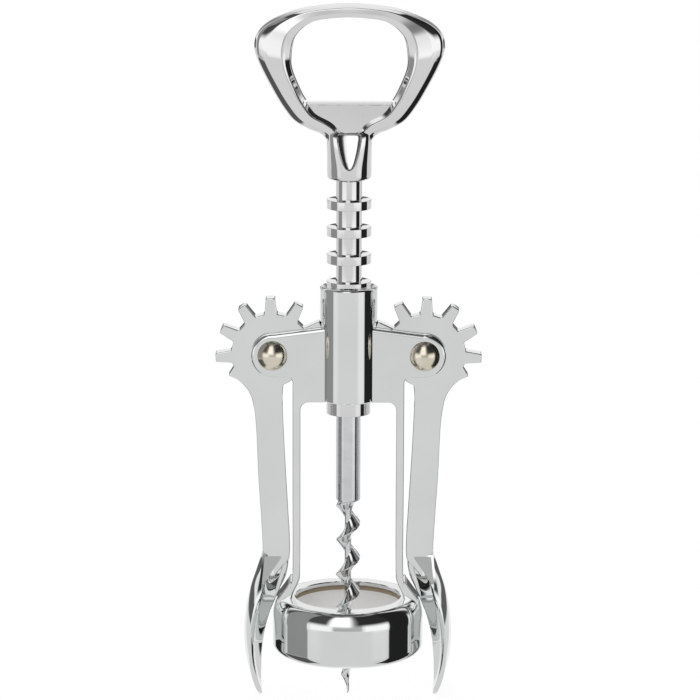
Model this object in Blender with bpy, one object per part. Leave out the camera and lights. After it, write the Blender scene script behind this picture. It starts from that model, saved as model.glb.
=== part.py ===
"""Wing corkscrew: a cast frame with two geared levers that drive a ring rack and its worm.

Frame of the part: +Z runs up along the worm, -Y is the front, and the origin is on the worm's
axis in the plane where the bottle's mouth meets the seat ring inside the bell. Metres throughout.
"""
import math

import bmesh
import bpy
from mathutils import Vector

MM = 0.001
GAP = 0.2 * MM                      # clearance kept between pieces that rest on each other

# Bell that sits over the bottle's neck
BELL_RADIUS = 19.0 * MM
BELL_BORE_RADIUS = 15.8 * MM
BELL_MOUTH_RADIUS = 13.2 * MM       # hole in the bell's top, where the worm comes through
BELL_TOP = 2.3 * MM
BELL_BOTTOM = -12.0 * MM
BELL_TOP_ROUND = 2.8 * MM
BELL_FOOT_ROUND = 2.6 * MM
FLANGE_UNDERSIDE = 1.2 * MM
SEAT_RING_INNER = 13.5 * MM
SEAT_RING_OUTER = BELL_BORE_RADIUS - GAP

# Barrel that guides the rack
BARREL_RADIUS = 7.18 * MM
BARREL_BORE_RADIUS = 5.82 * MM
BARREL_TOP = 81.8 * MM
BARREL_BOTTOM = 53.0 * MM
BARREL_CHAMFER = 0.5 * MM

# Side plates that carry the levers, and the legs below them
PIVOT_X = 18.9 * MM
PIVOT_Z = 64.7 * MM
FRAME_HALF_DEPTH = 4.1 * MM
PLATE_INNER_FACE = 2.3 * MM
EAR_RADIUS = 5.4 * MM
PLATE_TOP_AT_BARREL = 71.6 * MM
PLATE_BOTTOM = 52.8 * MM
SLOT_TOP = 59.2 * MM
LEG_OUTER_X = 13.9 * MM
LEG_INNER_X = 11.9 * MM
LEG_FOOT_OUTER_X = 17.9 * MM
LEG_FOOT_INNER_X = 14.1 * MM
LEG_FLARE_TOP = 9.0 * MM

# Gear sectors on the levers
TOOTH_PITCH_DEG = 30.5
FIRST_TOOTH_DEG = 0.8
TOOTH_COUNT = 7
TIP_RADIUS = 14.2 * MM
ROOT_RADIUS = 10.1 * MM
SWEEP_RADIUS = 14.8 * MM            # room cut in the frame for the turning teeth
TOOTH_TIP_HALF = 1.2 * MM
TOOTH_ROOT_HALF = 1.55 * MM
LEVER_HALF_THICKNESS = 2.0 * MM

# Rack: a sleeve of rings on the worm's rod, one ring for each tooth
RING_PITCH = 6.82 * MM
PITCH_RADIUS = RING_PITCH / math.radians(TOOTH_PITCH_DEG)
RING_COUNT = 8                      # the lowest one is drawn out into the bottom collar
RINGS_ABOVE_PIVOT = 5.5             # ring spacings from the meshing gap up to the top ring
TOP_RING_Z = PIVOT_Z + PITCH_RADIUS * math.radians(FIRST_TOOTH_DEG) + RINGS_ABOVE_PIVOT * RING_PITCH
RING_THICKNESS = 2.27 * MM
RING_RADIUS = 5.55 * MM
NECK_RADIUS = 3.23 * MM
RACK_TOP = 108.4 * MM
RACK_BOTTOM = 49.5 * MM
ROD_RADIUS = 2.0 * MM
ROD_HOLE_RADIUS = 2.2 * MM

# Worm
SHANK_RADIUS = 3.1 * MM
SHANK_BOTTOM = 26.8 * MM
WORM_TIP = -23.4 * MM
FLIGHT_RADIUS = 3.05 * MM
WORM_CORE_RADIUS = 0.9 * MM
WORM_LEAD = 8.88 * MM
WORM_LEFT_PEAK_Z = 7.8 * MM         # a height at which the flight points to -X
WORM_TAPER = 9.0 * MM
FLIGHT_HALF_ANGLE_DEG = 105.0

# Handle: a loop with a cap lifter, on a round collar
COLLAR_RADIUS = 5.5 * MM
COLLAR_BOTTOM = 108.6 * MM
COLLAR_TOP = 121.0 * MM
ROD_TOP = 119.0 * MM
HANDLE_HALF_DEPTH = 4.0 * MM
HANDLE_EDGE_ROUND = 1.4 * MM
LIP_Z = 127.7 * MM
WEB_HALF_THICKNESS = 1.5 * MM

# Rivets on which the levers turn
RIVET_RADIUS = 1.5 * MM
RIVET_HOLE_RADIUS = 1.66 * MM
RIVET_HEAD_RADIUS = 3.7 * MM
RIVET_HEAD_HEIGHT = 1.9 * MM
RIVET_TAIL_RADIUS = 2.7 * MM
RIVET_TAIL_HEIGHT = 1.0 * MM

TURN_STEPS = 48


# ---------------------------------------------------------------- scene and material helpers

def clear_scene():
    for item in list(bpy.data.objects):
        bpy.data.objects.remove(item, do_unlink=True)


def make_material(name, colour, roughness, metallic):
    material = bpy.data.materials.new(name)
    material.use_nodes = True
    shader = material.node_tree.nodes["Principled BSDF"]
    shader.inputs["Base Color"].default_value = (*colour, 1.0)
    shader.inputs["Roughness"].default_value = roughness
    shader.inputs["Metallic"].default_value = metallic
    return material


def add_object(name, bm, material=None):
    """Turn a bmesh into an object with outward faces and smooth round sides."""
    bmesh.ops.remove_doubles(bm, verts=bm.verts, dist=0.001 * MM)
    bmesh.ops.recalc_face_normals(bm, faces=bm.faces)
    mesh = bpy.data.meshes.new(name)
    bm.to_mesh(mesh)
    bm.free()
    mesh.shade_smooth()
    mesh.set_sharp_from_angle(angle=math.radians(30))
    item = bpy.data.objects.new(name, mesh)
    bpy.context.scene.collection.objects.link(item)
    if material:
        mesh.materials.append(material)
    return item


def bake(item):
    """Replace an object's mesh with its evaluated one, so that its modifiers are applied."""
    depsgraph = bpy.context.evaluated_depsgraph_get()
    mesh = bpy.data.meshes.new_from_object(item.evaluated_get(depsgraph))
    item.modifiers.clear()
    item.data = mesh


def combine(target, other, operation):
    """Apply a Boolean of the other object to the target, and remove the other object."""
    modifier = target.modifiers.new(operation.lower(), "BOOLEAN")
    modifier.operation = operation
    modifier.solver = "EXACT"
    modifier.object = other
    bake(target)
    bpy.data.objects.remove(other, do_unlink=True)


def round_edges(item, width, segments, angle_deg=50):
    modifier = item.modifiers.new("round", "BEVEL")
    modifier.width = width
    modifier.segments = segments
    modifier.limit_method = "ANGLE"
    modifier.angle_limit = math.radians(angle_deg)
    bake(item)


def finish(item, material):
    """Weld what the Booleans left, shade the round sides smooth and give the piece its material."""
    bm = bmesh.new()
    bm.from_mesh(item.data)
    bmesh.ops.remove_doubles(bm, verts=bm.verts, dist=0.002 * MM)
    bmesh.ops.dissolve_degenerate(bm, edges=bm.edges, dist=0.002 * MM)
    bm.to_mesh(item.data)
    bm.free()
    item.data.shade_smooth()
    item.data.set_sharp_from_angle(angle=math.radians(30))
    item.data.materials.clear()
    item.data.materials.append(material)


# ---------------------------------------------------------------- shape helpers

def arc(centre, radius, start_deg, end_deg, steps):
    """Points on an arc in the XZ plane, counted anticlockwise from +X."""
    points = []
    for i in range(steps + 1):
        angle = math.radians(start_deg + (end_deg - start_deg) * i / steps)
        points.append((centre[0] + radius * math.cos(angle), centre[1] + radius * math.sin(angle)))
    return points


def smooth_path(points, steps, closed=False):
    """A Catmull-Rom curve through the points, with the given steps between neighbours."""
    count = len(points)
    spans = count if closed else count - 1
    path = []
    for i in range(spans):
        if closed:
            a, b, c, d = (Vector(points[(i + k - 1) % count]) for k in range(4))
        else:
            a, b, c, d = (Vector(points[min(max(i + k - 1, 0), count - 1)]) for k in range(4))
        for step in range(steps):
            t = step / steps
            path.append(0.5 * (2 * b + (c - a) * t + (2 * a - 5 * b + 4 * c - d) * t * t
                               + (3 * b - a - 3 * c + d) * t ** 3))
    if not closed:
        path.append(Vector(points[-1]))
    return [tuple(p) for p in path]


def rounded(corners, steps=5):
    """An outline whose corners (x, z, radius) are rounded by tangent arcs."""
    outline = []
    count = len(corners)
    for i, (x, z, radius) in enumerate(corners):
        here = Vector((x, z))
        if radius == 0:
            outline.append((x, z))
            continue
        to_last = (Vector(corners[i - 1][:2]) - here).normalized()
        to_next = (Vector(corners[(i + 1) % count][:2]) - here).normalized()
        half = to_last.angle(to_next) / 2
        centre = here + (to_last + to_next).normalized() * radius / math.sin(half)
        start = here + to_last * radius / math.tan(half) - centre
        end = here + to_next * radius / math.tan(half) - centre
        for step in range(steps + 1):
            direction = start.lerp(end, step / steps).normalized()
            outline.append(tuple(centre + direction * radius))
    return outline


def prism(name, outline, y_low, y_high):
    """A plate: an outline in the XZ plane, extruded along Y."""
    bm = bmesh.new()
    face = bm.faces.new([bm.verts.new((x, y_low, z)) for x, z in outline])
    extruded = bmesh.ops.extrude_face_region(bm, geom=[face])
    moved = [v for v in extruded["geom"] if isinstance(v, bmesh.types.BMVert)]
    bmesh.ops.translate(bm, verts=moved, vec=(0, y_high - y_low, 0))
    return add_object(name, bm)


def turned(name, profile, steps=TURN_STEPS):
    """A turned solid about the Z axis, from (radius, z) points that end on the axis or form a ring."""
    bm = bmesh.new()
    verts = [bm.verts.new((r, 0, z)) for r, z in profile]
    edges = [bm.edges.new(pair) for pair in zip(verts, verts[1:])]
    starts_on_axis = profile[0][0] < 0.001 * MM
    if not starts_on_axis:
        edges.append(bm.edges.new((verts[-1], verts[0])))
    bmesh.ops.spin(bm, geom=edges, cent=(0, 0, 0), axis=(0, 0, 1), angle=math.tau, steps=steps,
                   use_merge=True)
    return add_object(name, bm)


def cylinder_y(name, x, z, radius, y_low, y_high, steps=32):
    """A round bar along Y."""
    return prism(name, arc((x, z), radius, 0, 360 * (steps - 1) / steps, steps - 1), y_low, y_high)


def cylinder_z(name, radius, z_low, z_high):
    return turned(name, [(0, z_high), (radius, z_high), (radius, z_low), (0, z_low)])


def loft(name, sections):
    """A solid through rings of points that all have the same count, closed at both ends."""
    bm = bmesh.new()
    rings = [[bm.verts.new(point) for point in section] for section in sections]
    bm.faces.new(rings[0])
    bm.faces.new(rings[-1])
    for low, high in zip(rings, rings[1:]):
        for i in range(len(low)):
            bm.faces.new((low[i - 1], low[i], high[i], high[i - 1]))
    return add_object(name, bm)


def mirrored(outline):
    return [(-x, z) for x, z in reversed(outline)]


# ---------------------------------------------------------------- frame

def bell_profile():
    top_round = arc((BELL_RADIUS - BELL_TOP_ROUND, BELL_TOP - BELL_TOP_ROUND), BELL_TOP_ROUND, 90, 0, 6)
    foot_round = arc((BELL_RADIUS - BELL_FOOT_ROUND, BELL_BOTTOM + BELL_FOOT_ROUND), BELL_FOOT_ROUND,
                     0, -90, 6)
    inside = [(BELL_BORE_RADIUS, BELL_BOTTOM), (BELL_BORE_RADIUS, FLANGE_UNDERSIDE),
              (BELL_MOUTH_RADIUS, FLANGE_UNDERSIDE), (BELL_MOUTH_RADIUS, BELL_TOP)]
    return top_round + foot_round + inside


def plate_outline(side):
    """Web between barrel and leg with the ear for the rivet, on the side -1 (left) or +1."""
    ear = arc((-PIVOT_X, PIVOT_Z), EAR_RADIUS, 85, 270, 16)
    slot_round = 1.3 * MM
    outline = [(0, PLATE_BOTTOM), (0, PLATE_TOP_AT_BARREL + 0.9 * MM), *ear]
    outline += arc((-LEG_OUTER_X - slot_round, SLOT_TOP - slot_round), slot_round, 90, 0, 4)
    outline += [(-LEG_OUTER_X, PLATE_BOTTOM)]
    return outline if side < 0 else mirrored(outline)


def leg_outline(side):
    """Leg that runs down to the bell and flares out onto its shoulder."""
    outer = smooth_path([(-LEG_OUTER_X, LEG_FLARE_TOP), (-14.6 * MM, 6.6 * MM), (-16.4 * MM, 3.9 * MM),
                         (-LEG_FOOT_OUTER_X, 1.9 * MM)], 4)
    inner = smooth_path([(-LEG_FOOT_INNER_X, 2.2 * MM), (-13.6 * MM, 4.0 * MM), (-12.4 * MM, 6.6 * MM),
                         (-LEG_INNER_X - 0.1 * MM, LEG_FLARE_TOP)], 4)
    foot = [(-LEG_FOOT_OUTER_X, 0.3 * MM), (-16.3 * MM, 0.3 * MM), (-16.3 * MM, 1.6 * MM),
            (-LEG_FOOT_INNER_X, 1.6 * MM)]
    web_round = 1.9 * MM
    fillet = arc((-LEG_INNER_X + web_round, PLATE_BOTTOM - web_round), web_round, 180, 90, 5)
    top = [(-LEG_INNER_X + web_round, PLATE_BOTTOM + 1.0 * MM), (-LEG_OUTER_X, PLATE_BOTTOM + 1.0 * MM)]
    outline = outer + foot + inner + fillet + top
    return outline if side < 0 else mirrored(outline)


def make_frame(material):
    frame = turned("frame_body", bell_profile())
    barrel = turned("barrel", [(0, BARREL_TOP), (BARREL_RADIUS - BARREL_CHAMFER, BARREL_TOP),
                               (BARREL_RADIUS, BARREL_TOP - BARREL_CHAMFER),
                               (BARREL_RADIUS, BARREL_BOTTOM + BARREL_CHAMFER),
                               (BARREL_RADIUS - BARREL_CHAMFER, BARREL_BOTTOM), (0, BARREL_BOTTOM)])
    for side in (-1, 1):
        leg = prism("leg", leg_outline(side), -FRAME_HALF_DEPTH, FRAME_HALF_DEPTH)
        combine(frame, leg, "UNION")
        plate = prism("plate", plate_outline(side), -FRAME_HALF_DEPTH, FRAME_HALF_DEPTH)
        combine(barrel, plate, "UNION")
    combine(frame, barrel, "UNION")
    bore = cylinder_z("bore", BARREL_BORE_RADIUS, BARREL_BOTTOM - 2 * MM, BARREL_TOP + 2 * MM)
    combine(frame, bore, "DIFFERENCE")
    for side in (-1, 1):
        sweep = cylinder_y("sweep", side * PIVOT_X, PIVOT_Z, SWEEP_RADIUS, -PLATE_INNER_FACE,
                           PLATE_INNER_FACE, 64)
        combine(frame, sweep, "DIFFERENCE")
        hole = cylinder_y("hole", side * PIVOT_X, PIVOT_Z, RIVET_HOLE_RADIUS, -2 * FRAME_HALF_DEPTH,
                          2 * FRAME_HALF_DEPTH)
        combine(frame, hole, "DIFFERENCE")
    finish(frame, material)
    return frame


def make_seat_ring(material):
    """Plastic ring under the bell's flange that the bottle's mouth bears on."""
    top = FLANGE_UNDERSIDE - GAP
    ring = turned("seat_ring", [(SEAT_RING_INNER, top), (SEAT_RING_OUTER, top), (SEAT_RING_OUTER, 0),
                                (SEAT_RING_INNER, 0)])
    finish(ring, material)
    return ring


# ---------------------------------------------------------------- levers

def tooth(angle_deg):
    """One rounded tooth of the gear sector, about the pivot, from root to root anticlockwise."""
    angle = math.radians(angle_deg)
    along = Vector((math.cos(angle), math.sin(angle)))
    across = Vector((-math.sin(angle), math.cos(angle)))
    tip_round = 0.5 * MM
    half_profile = [(ROOT_RADIUS - 0.1 * MM, TOOTH_ROOT_HALF + 0.4 * MM),
                    (ROOT_RADIUS + 0.4 * MM, TOOTH_ROOT_HALF),
                    (TIP_RADIUS - tip_round, TOOTH_TIP_HALF),
                    (TIP_RADIUS - 0.3 * tip_round, TOOTH_TIP_HALF - 0.3 * tip_round),
                    (TIP_RADIUS, TOOTH_TIP_HALF - tip_round)]
    rising = [along * r - across * w for r, w in half_profile]
    falling = [along * r + across * w for r, w in reversed(half_profile)]
    return [tuple(p) for p in rising + falling]


def lever_blank_outline():
    """Gear sector and arm of the left lever, about its pivot, anticlockwise from the rack side."""
    outline = []
    for i in range(TOOTH_COUNT):
        outline += tooth(FIRST_TOOTH_DEG + i * TOOTH_PITCH_DEG)
    stub = [(-9.6 * MM, -3.3 * MM), (-11.0 * MM, -5.5 * MM)]
    outer_edge = smooth_path([stub[-1], (-8.2 * MM, -6.9 * MM), (-5.9 * MM, -9.6 * MM),
                              (-4.8 * MM, -12.9 * MM), (-4.1 * MM, -19.0 * MM), (-3.6 * MM, -31.0 * MM),
                              (-2.9 * MM, -42.0 * MM), (-2.5 * MM, -54.0 * MM)], 3)
    inner_edge = smooth_path([(4.1 * MM, -54.0 * MM), (4.3 * MM, -49.0 * MM), (3.9 * MM, -40.0 * MM),
                              (3.0 * MM, -24.0 * MM), (2.5 * MM, -12.0 * MM), (2.7 * MM, -7.8 * MM)], 3)
    hub_side = arc((0, 0), 8.2 * MM, -66, -16, 4)
    return outline + stub + outer_edge[1:] + inner_edge + hub_side


# Stations down the paddle: height, then x of its back, its rim and its keel, and its full width
PADDLE_HEIGHTS = [14.0, 9.0, 4.0, -1.5, -7.0, -12.5, -17.5, -21.0, -23.3]
PADDLE_BACK = [-21.6, -23.1, -24.75, -25.8, -26.2, -25.8, -24.65, -23.5, -22.4]
PADDLE_RIM = [-21.5, -21.9, -22.8, -24.1, -24.8, -24.8, -24.2, -23.3, -22.3]
PADDLE_KEEL = [-14.5, -15.2, -17.3, -19.6, -21.0, -21.65, -21.9, -21.8, -21.3]
PADDLE_WIDTH = [4.0, 7.6, 12.4, 15.4, 16.0, 14.6, 11.2, 7.4, 3.2]
SHELL_THICKNESS = 1.4


def paddle_stations(steps):
    """Smooth values of height, back, rim, keel and width down the paddle, in metres."""
    rows = list(zip(PADDLE_HEIGHTS, PADDLE_BACK, PADDLE_RIM, PADDLE_KEEL, PADDLE_WIDTH))
    count = len(rows)
    stations = []
    for i in range(count - 1):
        a, b, c, d = (rows[min(max(i + k - 1, 0), count - 1)] for k in range(4))
        for step in range(steps):
            t = step / steps
            stations.append([0.5 * MM * (2 * q + (r - p) * t + (2 * p - 5 * q + 4 * r - s) * t * t
                                         + (3 * q - p - 3 * r + s) * t ** 3)
                             for p, q, r, s in zip(a, b, c, d)])
    stations.append([value * MM for value in rows[-1]])
    return stations


def paddle_shell():
    """Curved shell that the palm presses: crescent sections, hollow towards the bell."""
    sections = []
    across = [i / 5 for i in range(-5, 6)]
    for z, back, rim, _, width in paddle_stations(2):
        outer = [(back + (rim - back) * u * u, u * width / 2, z) for u in across]
        inner = [(back + (rim - back) * u * u + SHELL_THICKNESS * MM, u * (width / 2 - 0.2 * MM), z)
                 for u in reversed(across)]
        sections.append(outer + inner)
    return loft("paddle_shell", sections)


def paddle_keel():
    """Web that carries the arm down the middle of the paddle, thinner towards the tip."""
    sections = []
    stations = paddle_stations(2)
    top, bottom = stations[0][0], stations[-1][0]
    for z, back, _, keel, _ in stations[:-1]:
        half = LEVER_HALF_THICKNESS * (1 - 0.55 * (top - z) / (top - bottom))
        left = back + 0.7 * MM
        sections.append([(left, -half, z), (keel, -half, z), (keel, half, z), (left, half, z)])
    return loft("paddle_keel", sections)


def lever_pockets(lever):
    """Triangular recess on each face above the diagonal rib, and a hollow below the rib."""
    depth = 1.2 * MM
    upper = rounded([(-21.1 * MM, 12.9 * MM, 0.3 * MM), (-21.9 * MM, 4.6 * MM, 0.2 * MM),
                     (-16.4 * MM, 12.9 * MM, 0.3 * MM)], 2)
    lower = rounded([(-17.6 * MM, 9.4 * MM, 0.8 * MM), (-21.9 * MM, 2.6 * MM, 0.2 * MM),
                     (-21.6 * MM, -0.6 * MM, 0.3 * MM), (-19.0 * MM, 1.6 * MM, 0.3 * MM),
                     (-16.0 * MM, 9.0 * MM, 0.8 * MM)], 2)
    for outline in (upper, lower):
        for side in (-1, 1):
            inner_face = LEVER_HALF_THICKNESS - depth
            low, high = sorted((side * inner_face, side * 12 * MM))
            combine(lever, prism("pocket", outline, low, high), "DIFFERENCE")


def make_lever(name, side, material):
    """The left lever (side -1), or its mirror image, with its origin on the pivot."""
    blank = [(x - PIVOT_X, z + PIVOT_Z) for x, z in lever_blank_outline()]
    lever = prism(name, blank, -LEVER_HALF_THICKNESS, LEVER_HALF_THICKNESS)
    combine(lever, paddle_keel(), "UNION")
    combine(lever, paddle_shell(), "UNION")
    lever_pockets(lever)
    hole = cylinder_y("hole", -PIVOT_X, PIVOT_Z, RIVET_HOLE_RADIUS, -5 * MM, 5 * MM)
    combine(lever, hole, "DIFFERENCE")
    bm = bmesh.new()
    bm.from_mesh(lever.data)
    if side > 0:
        bmesh.ops.scale(bm, verts=bm.verts, vec=(-1, 1, 1))
        bmesh.ops.reverse_faces(bm, faces=bm.faces)
    bmesh.ops.translate(bm, verts=bm.verts, vec=(-side * PIVOT_X, 0, -PIVOT_Z))
    bm.to_mesh(lever.data)
    bm.free()
    lever.location = (side * PIVOT_X, 0, PIVOT_Z)
    finish(lever, material)
    return lever


def make_rivet(name, side, material):
    """Round-headed rivet: shank through both plates and the lever, tail spread at the back."""
    face = FRAME_HALF_DEPTH + GAP
    sphere_radius = (RIVET_HEAD_RADIUS ** 2 + RIVET_HEAD_HEIGHT ** 2) / (2 * RIVET_HEAD_HEIGHT)
    edge_deg = math.degrees(math.asin(RIVET_HEAD_RADIUS / sphere_radius))
    dome = arc((0, face + RIVET_HEAD_HEIGHT - sphere_radius), sphere_radius, 90, 90 - edge_deg, 7)
    profile = dome + [(RIVET_RADIUS, face), (RIVET_RADIUS, -face), (RIVET_TAIL_RADIUS, -face),
                      (RIVET_TAIL_RADIUS, -face - 0.6 * RIVET_TAIL_HEIGHT),
                      (RIVET_TAIL_RADIUS - 0.5 * MM, -face - RIVET_TAIL_HEIGHT),
                      (0, -face - RIVET_TAIL_HEIGHT)]
    rivet = turned(name, profile, 32)
    rivet.rotation_euler = (math.pi / 2, 0, 0)
    rivet.location = (side * PIVOT_X, 0, PIVOT_Z)
    finish(rivet, material)
    return rivet


# ---------------------------------------------------------------- rack, worm and handle

def make_rack(material):
    """Sleeve of round teeth: rings at the gears' pitch on a plain neck, and a bottom collar."""
    outside = [(NECK_RADIUS, RACK_TOP)]
    for i in range(RING_COUNT):
        centre = TOP_RING_Z - i * RING_PITCH
        top = centre + RING_THICKNESS / 2
        bottom = centre - RING_THICKNESS / 2 if i < RING_COUNT - 1 else RACK_BOTTOM
        outside += [(NECK_RADIUS, top), (RING_RADIUS - 0.15 * MM, top), (RING_RADIUS, top - 0.15 * MM),
                    (RING_RADIUS, bottom + 0.15 * MM), (RING_RADIUS - 0.15 * MM, bottom)]
        if i < RING_COUNT - 1:
            outside.append((NECK_RADIUS, bottom))
    inside = [(ROD_HOLE_RADIUS, RACK_BOTTOM), (ROD_HOLE_RADIUS, RACK_TOP)]
    rack = turned("rack_sleeve", outside + inside)
    finish(rack, material)
    return rack


def worm_section(z, scale):
    """One slice of the auger: a round core with a sharp ridge that points along the flight."""
    peak = math.pi + math.tau * (z - WORM_LEFT_PEAK_Z) / WORM_LEAD
    points = []
    steps = 14
    for i in range(steps):
        offset = -math.pi + math.tau * i / steps
        fall = min(abs(offset) / math.radians(FLIGHT_HALF_ANGLE_DEG), 1.0)
        radius = scale * (FLIGHT_RADIUS + (WORM_CORE_RADIUS - FLIGHT_RADIUS) * fall)
        points.append((radius * math.cos(peak + offset), radius * math.sin(peak + offset), z))
    return points


def make_worm(material):
    """Rod through the rack, shank below it, and the auger with its point."""
    worm = turned("worm", [(0, ROD_TOP), (ROD_RADIUS, ROD_TOP), (ROD_RADIUS, RACK_BOTTOM - GAP),
                           (SHANK_RADIUS, RACK_BOTTOM - GAP), (SHANK_RADIUS, SHANK_BOTTOM + 0.6 * MM),
                           (SHANK_RADIUS - 0.6 * MM, SHANK_BOTTOM), (0, SHANK_BOTTOM)], 32)
    slices = 110
    start = SHANK_BOTTOM + 1.5 * MM
    sections = []
    for i in range(slices + 1):
        z = start + (WORM_TIP - start) * i / slices
        scale = min(1.0, 0.08 + 0.92 * (z - WORM_TIP) / WORM_TAPER)
        sections.append(worm_section(z, scale * 0.97 if z > SHANK_BOTTOM else scale))
    combine(worm, loft("auger", sections), "UNION")
    finish(worm, material)
    return worm


def handle_outer_outline():
    """Right half of the loop's outside from the crown down to the neck, then the left half."""
    half = smooth_path([(0, 152.0 * MM), (9.5 * MM, 151.2 * MM), (15.2 * MM, 149.6 * MM),
                        (20.2 * MM, 147.3 * MM), (22.9 * MM, 144.4 * MM), (23.4 * MM, 140.6 * MM),
                        (22.1 * MM, 136.6 * MM), (19.0 * MM, 130.6 * MM), (16.4 * MM, 126.2 * MM),
                        (13.6 * MM, 122.8 * MM), (10.0 * MM, 120.9 * MM), (6.8 * MM, 119.7 * MM),
                        (5.4 * MM, 117.6 * MM)], 3)
    return half + [(-x, z) for x, z in reversed(half[1:])]


def handle_opening_outline():
    """Finger hole above the straight lip of the cap lifter."""
    half = smooth_path([(0, 148.7 * MM), (7.1 * MM, 148.1 * MM), (11.3 * MM, 146.1 * MM),
                        (13.6 * MM, 142.8 * MM), (14.2 * MM, 138.6 * MM), (13.9 * MM, 135.2 * MM),
                        (12.7 * MM, 132.0 * MM), (11.2 * MM, 129.5 * MM), (10.0 * MM, LIP_Z)], 3)
    return half + [(-x, z) for x, z in reversed(half[1:])]


def handle_recess_outline():
    """Hollow below the lip on each face, down to a rounded tail on the collar."""
    above_lip = LIP_Z + 0.8 * MM
    half = smooth_path([(11.6 * MM, above_lip), (11.0 * MM, 125.8 * MM), (8.6 * MM, 123.8 * MM),
                        (4.8 * MM, 121.8 * MM), (3.1 * MM, 119.6 * MM), (2.5 * MM, 115.6 * MM),
                        (1.7 * MM, 113.0 * MM), (0, 111.2 * MM)], 3)
    return half + [(-x, z) for x, z in reversed(half[:-1])]


def make_handle(material):
    handle = prism("handle", handle_outer_outline(), -HANDLE_HALF_DEPTH, HANDLE_HALF_DEPTH)
    opening = prism("opening", handle_opening_outline(), -2 * HANDLE_HALF_DEPTH, 2 * HANDLE_HALF_DEPTH)
    combine(handle, opening, "DIFFERENCE")
    round_edges(handle, HANDLE_EDGE_ROUND, 2)
    collar = turned("collar", [(0, COLLAR_TOP), (COLLAR_RADIUS - 2.5 * MM, COLLAR_TOP),
                               (COLLAR_RADIUS, COLLAR_TOP - 3.0 * MM),
                               (COLLAR_RADIUS, COLLAR_BOTTOM + 0.3 * MM),
                               (COLLAR_RADIUS - 0.3 * MM, COLLAR_BOTTOM), (0, COLLAR_BOTTOM)])
    combine(handle, collar, "UNION")
    for side in (-1, 1):
        low, high = sorted((side * WEB_HALF_THICKNESS * 2, side * 2 * HANDLE_HALF_DEPTH))
        combine(handle, prism("recess", handle_recess_outline(), low, high), "DIFFERENCE")
    hole = cylinder_z("hole", ROD_HOLE_RADIUS, COLLAR_BOTTOM - 1 * MM, ROD_TOP + GAP)
    combine(handle, hole, "DIFFERENCE")
    finish(handle, material)
    return handle


def main():
    clear_scene()
    chrome = make_material("chrome", (0.78, 0.79, 0.79), 0.06, 1.0)
    rack_chrome = make_material("rack_chrome", (0.76, 0.77, 0.77), 0.08, 1.0)
    nickel = make_material("satin_nickel", (0.74, 0.70, 0.60), 0.32, 1.0)
    steel = make_material("worm_steel", (0.72, 0.73, 0.74), 0.14, 1.0)
    nylon = make_material("seat_nylon", (0.62, 0.53, 0.40), 0.45, 0.0)
    make_frame(chrome)
    make_seat_ring(nylon)
    make_handle(chrome)
    make_rack(rack_chrome)
    make_worm(steel)
    for name, side in (("left", -1), ("right", 1)):
        make_lever("lever_" + name, side, chrome)
        make_rivet("rivet_" + name, side, nickel)


main()
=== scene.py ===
"""Looks of the wing corkscrew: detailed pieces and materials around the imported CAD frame.

Metres, +Z up along the worm, -Y is the front. Sizes repeat the CAD part's driving dimensions.
"""
import math

import bmesh
import bpy
from mathutils import Matrix, Vector


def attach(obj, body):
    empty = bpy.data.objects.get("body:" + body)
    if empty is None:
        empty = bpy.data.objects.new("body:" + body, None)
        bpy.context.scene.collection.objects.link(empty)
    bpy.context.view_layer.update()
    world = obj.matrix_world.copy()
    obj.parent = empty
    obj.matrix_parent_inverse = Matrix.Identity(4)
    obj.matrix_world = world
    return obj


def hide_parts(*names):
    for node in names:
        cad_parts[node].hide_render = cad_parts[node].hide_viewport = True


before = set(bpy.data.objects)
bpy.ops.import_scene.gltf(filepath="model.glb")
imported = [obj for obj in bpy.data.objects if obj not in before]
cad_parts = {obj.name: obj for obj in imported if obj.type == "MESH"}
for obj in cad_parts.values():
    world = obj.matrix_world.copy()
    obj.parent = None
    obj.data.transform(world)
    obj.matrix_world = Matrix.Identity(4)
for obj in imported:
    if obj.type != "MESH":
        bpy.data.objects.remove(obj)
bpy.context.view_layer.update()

MM = 0.001

# Bell
BELL_RADIUS = 18.98 * MM
BELL_BORE_RADIUS = 15.8 * MM
BELL_MOUTH_RADIUS = 13.2 * MM
BELL_TOP = 2.3 * MM
BELL_BOTTOM = -12.0 * MM
BELL_SHOULDER_WIDTH = 2.8 * MM
BELL_SHOULDER_HEIGHT = 4.8 * MM
BELL_FOOT_ROUND = 2.6 * MM
FLANGE_UNDERSIDE = 1.2 * MM
SEAT_RING_INNER = 13.5 * MM
SEAT_RING_OUTER = 15.6 * MM
SEAT_RING_TOP = 1.0 * MM

# Barrel, plates and legs
BARREL_RADIUS = 7.18 * MM
BARREL_BORE_RADIUS = 5.82 * MM
BARREL_TOP = 81.8 * MM
BARREL_BOTTOM = 53.0 * MM
PIVOT_X = 18.9 * MM
PIVOT_Z = 64.7 * MM
FRAME_HALF_DEPTH = 4.08 * MM
PLATE_INNER_FACE = 2.3 * MM
EAR_RADIUS = 5.4 * MM
PLATE_TOP_AT_BARREL = 71.6 * MM
PLATE_BOTTOM = 52.8 * MM
SLOT_TOP = 59.2 * MM
LEG_OUTER_X = 13.9 * MM
LEG_INNER_X = 11.9 * MM
LEG_FOOT_OUTER_X = 17.9 * MM
LEG_FOOT_INNER_X = 14.1 * MM
CAST_EDGE = 0.4 * MM
EAR_EDGE = 0.95 * MM

# Gear sectors
TOOTH_PITCH_DEG = 30.5
FIRST_TOOTH_DEG = 0.8
TOOTH_COUNT = 7
TIP_RADIUS = 14.2 * MM
ROOT_RADIUS = 10.1 * MM
SWEEP_RADIUS = 14.8 * MM
TOOTH_TIP_HALF = 1.2 * MM
TOOTH_ROOT_HALF = 1.55 * MM
LEVER_HALF_THICKNESS = 2.0 * MM
TOOTH_EDGE = 0.3 * MM

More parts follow.
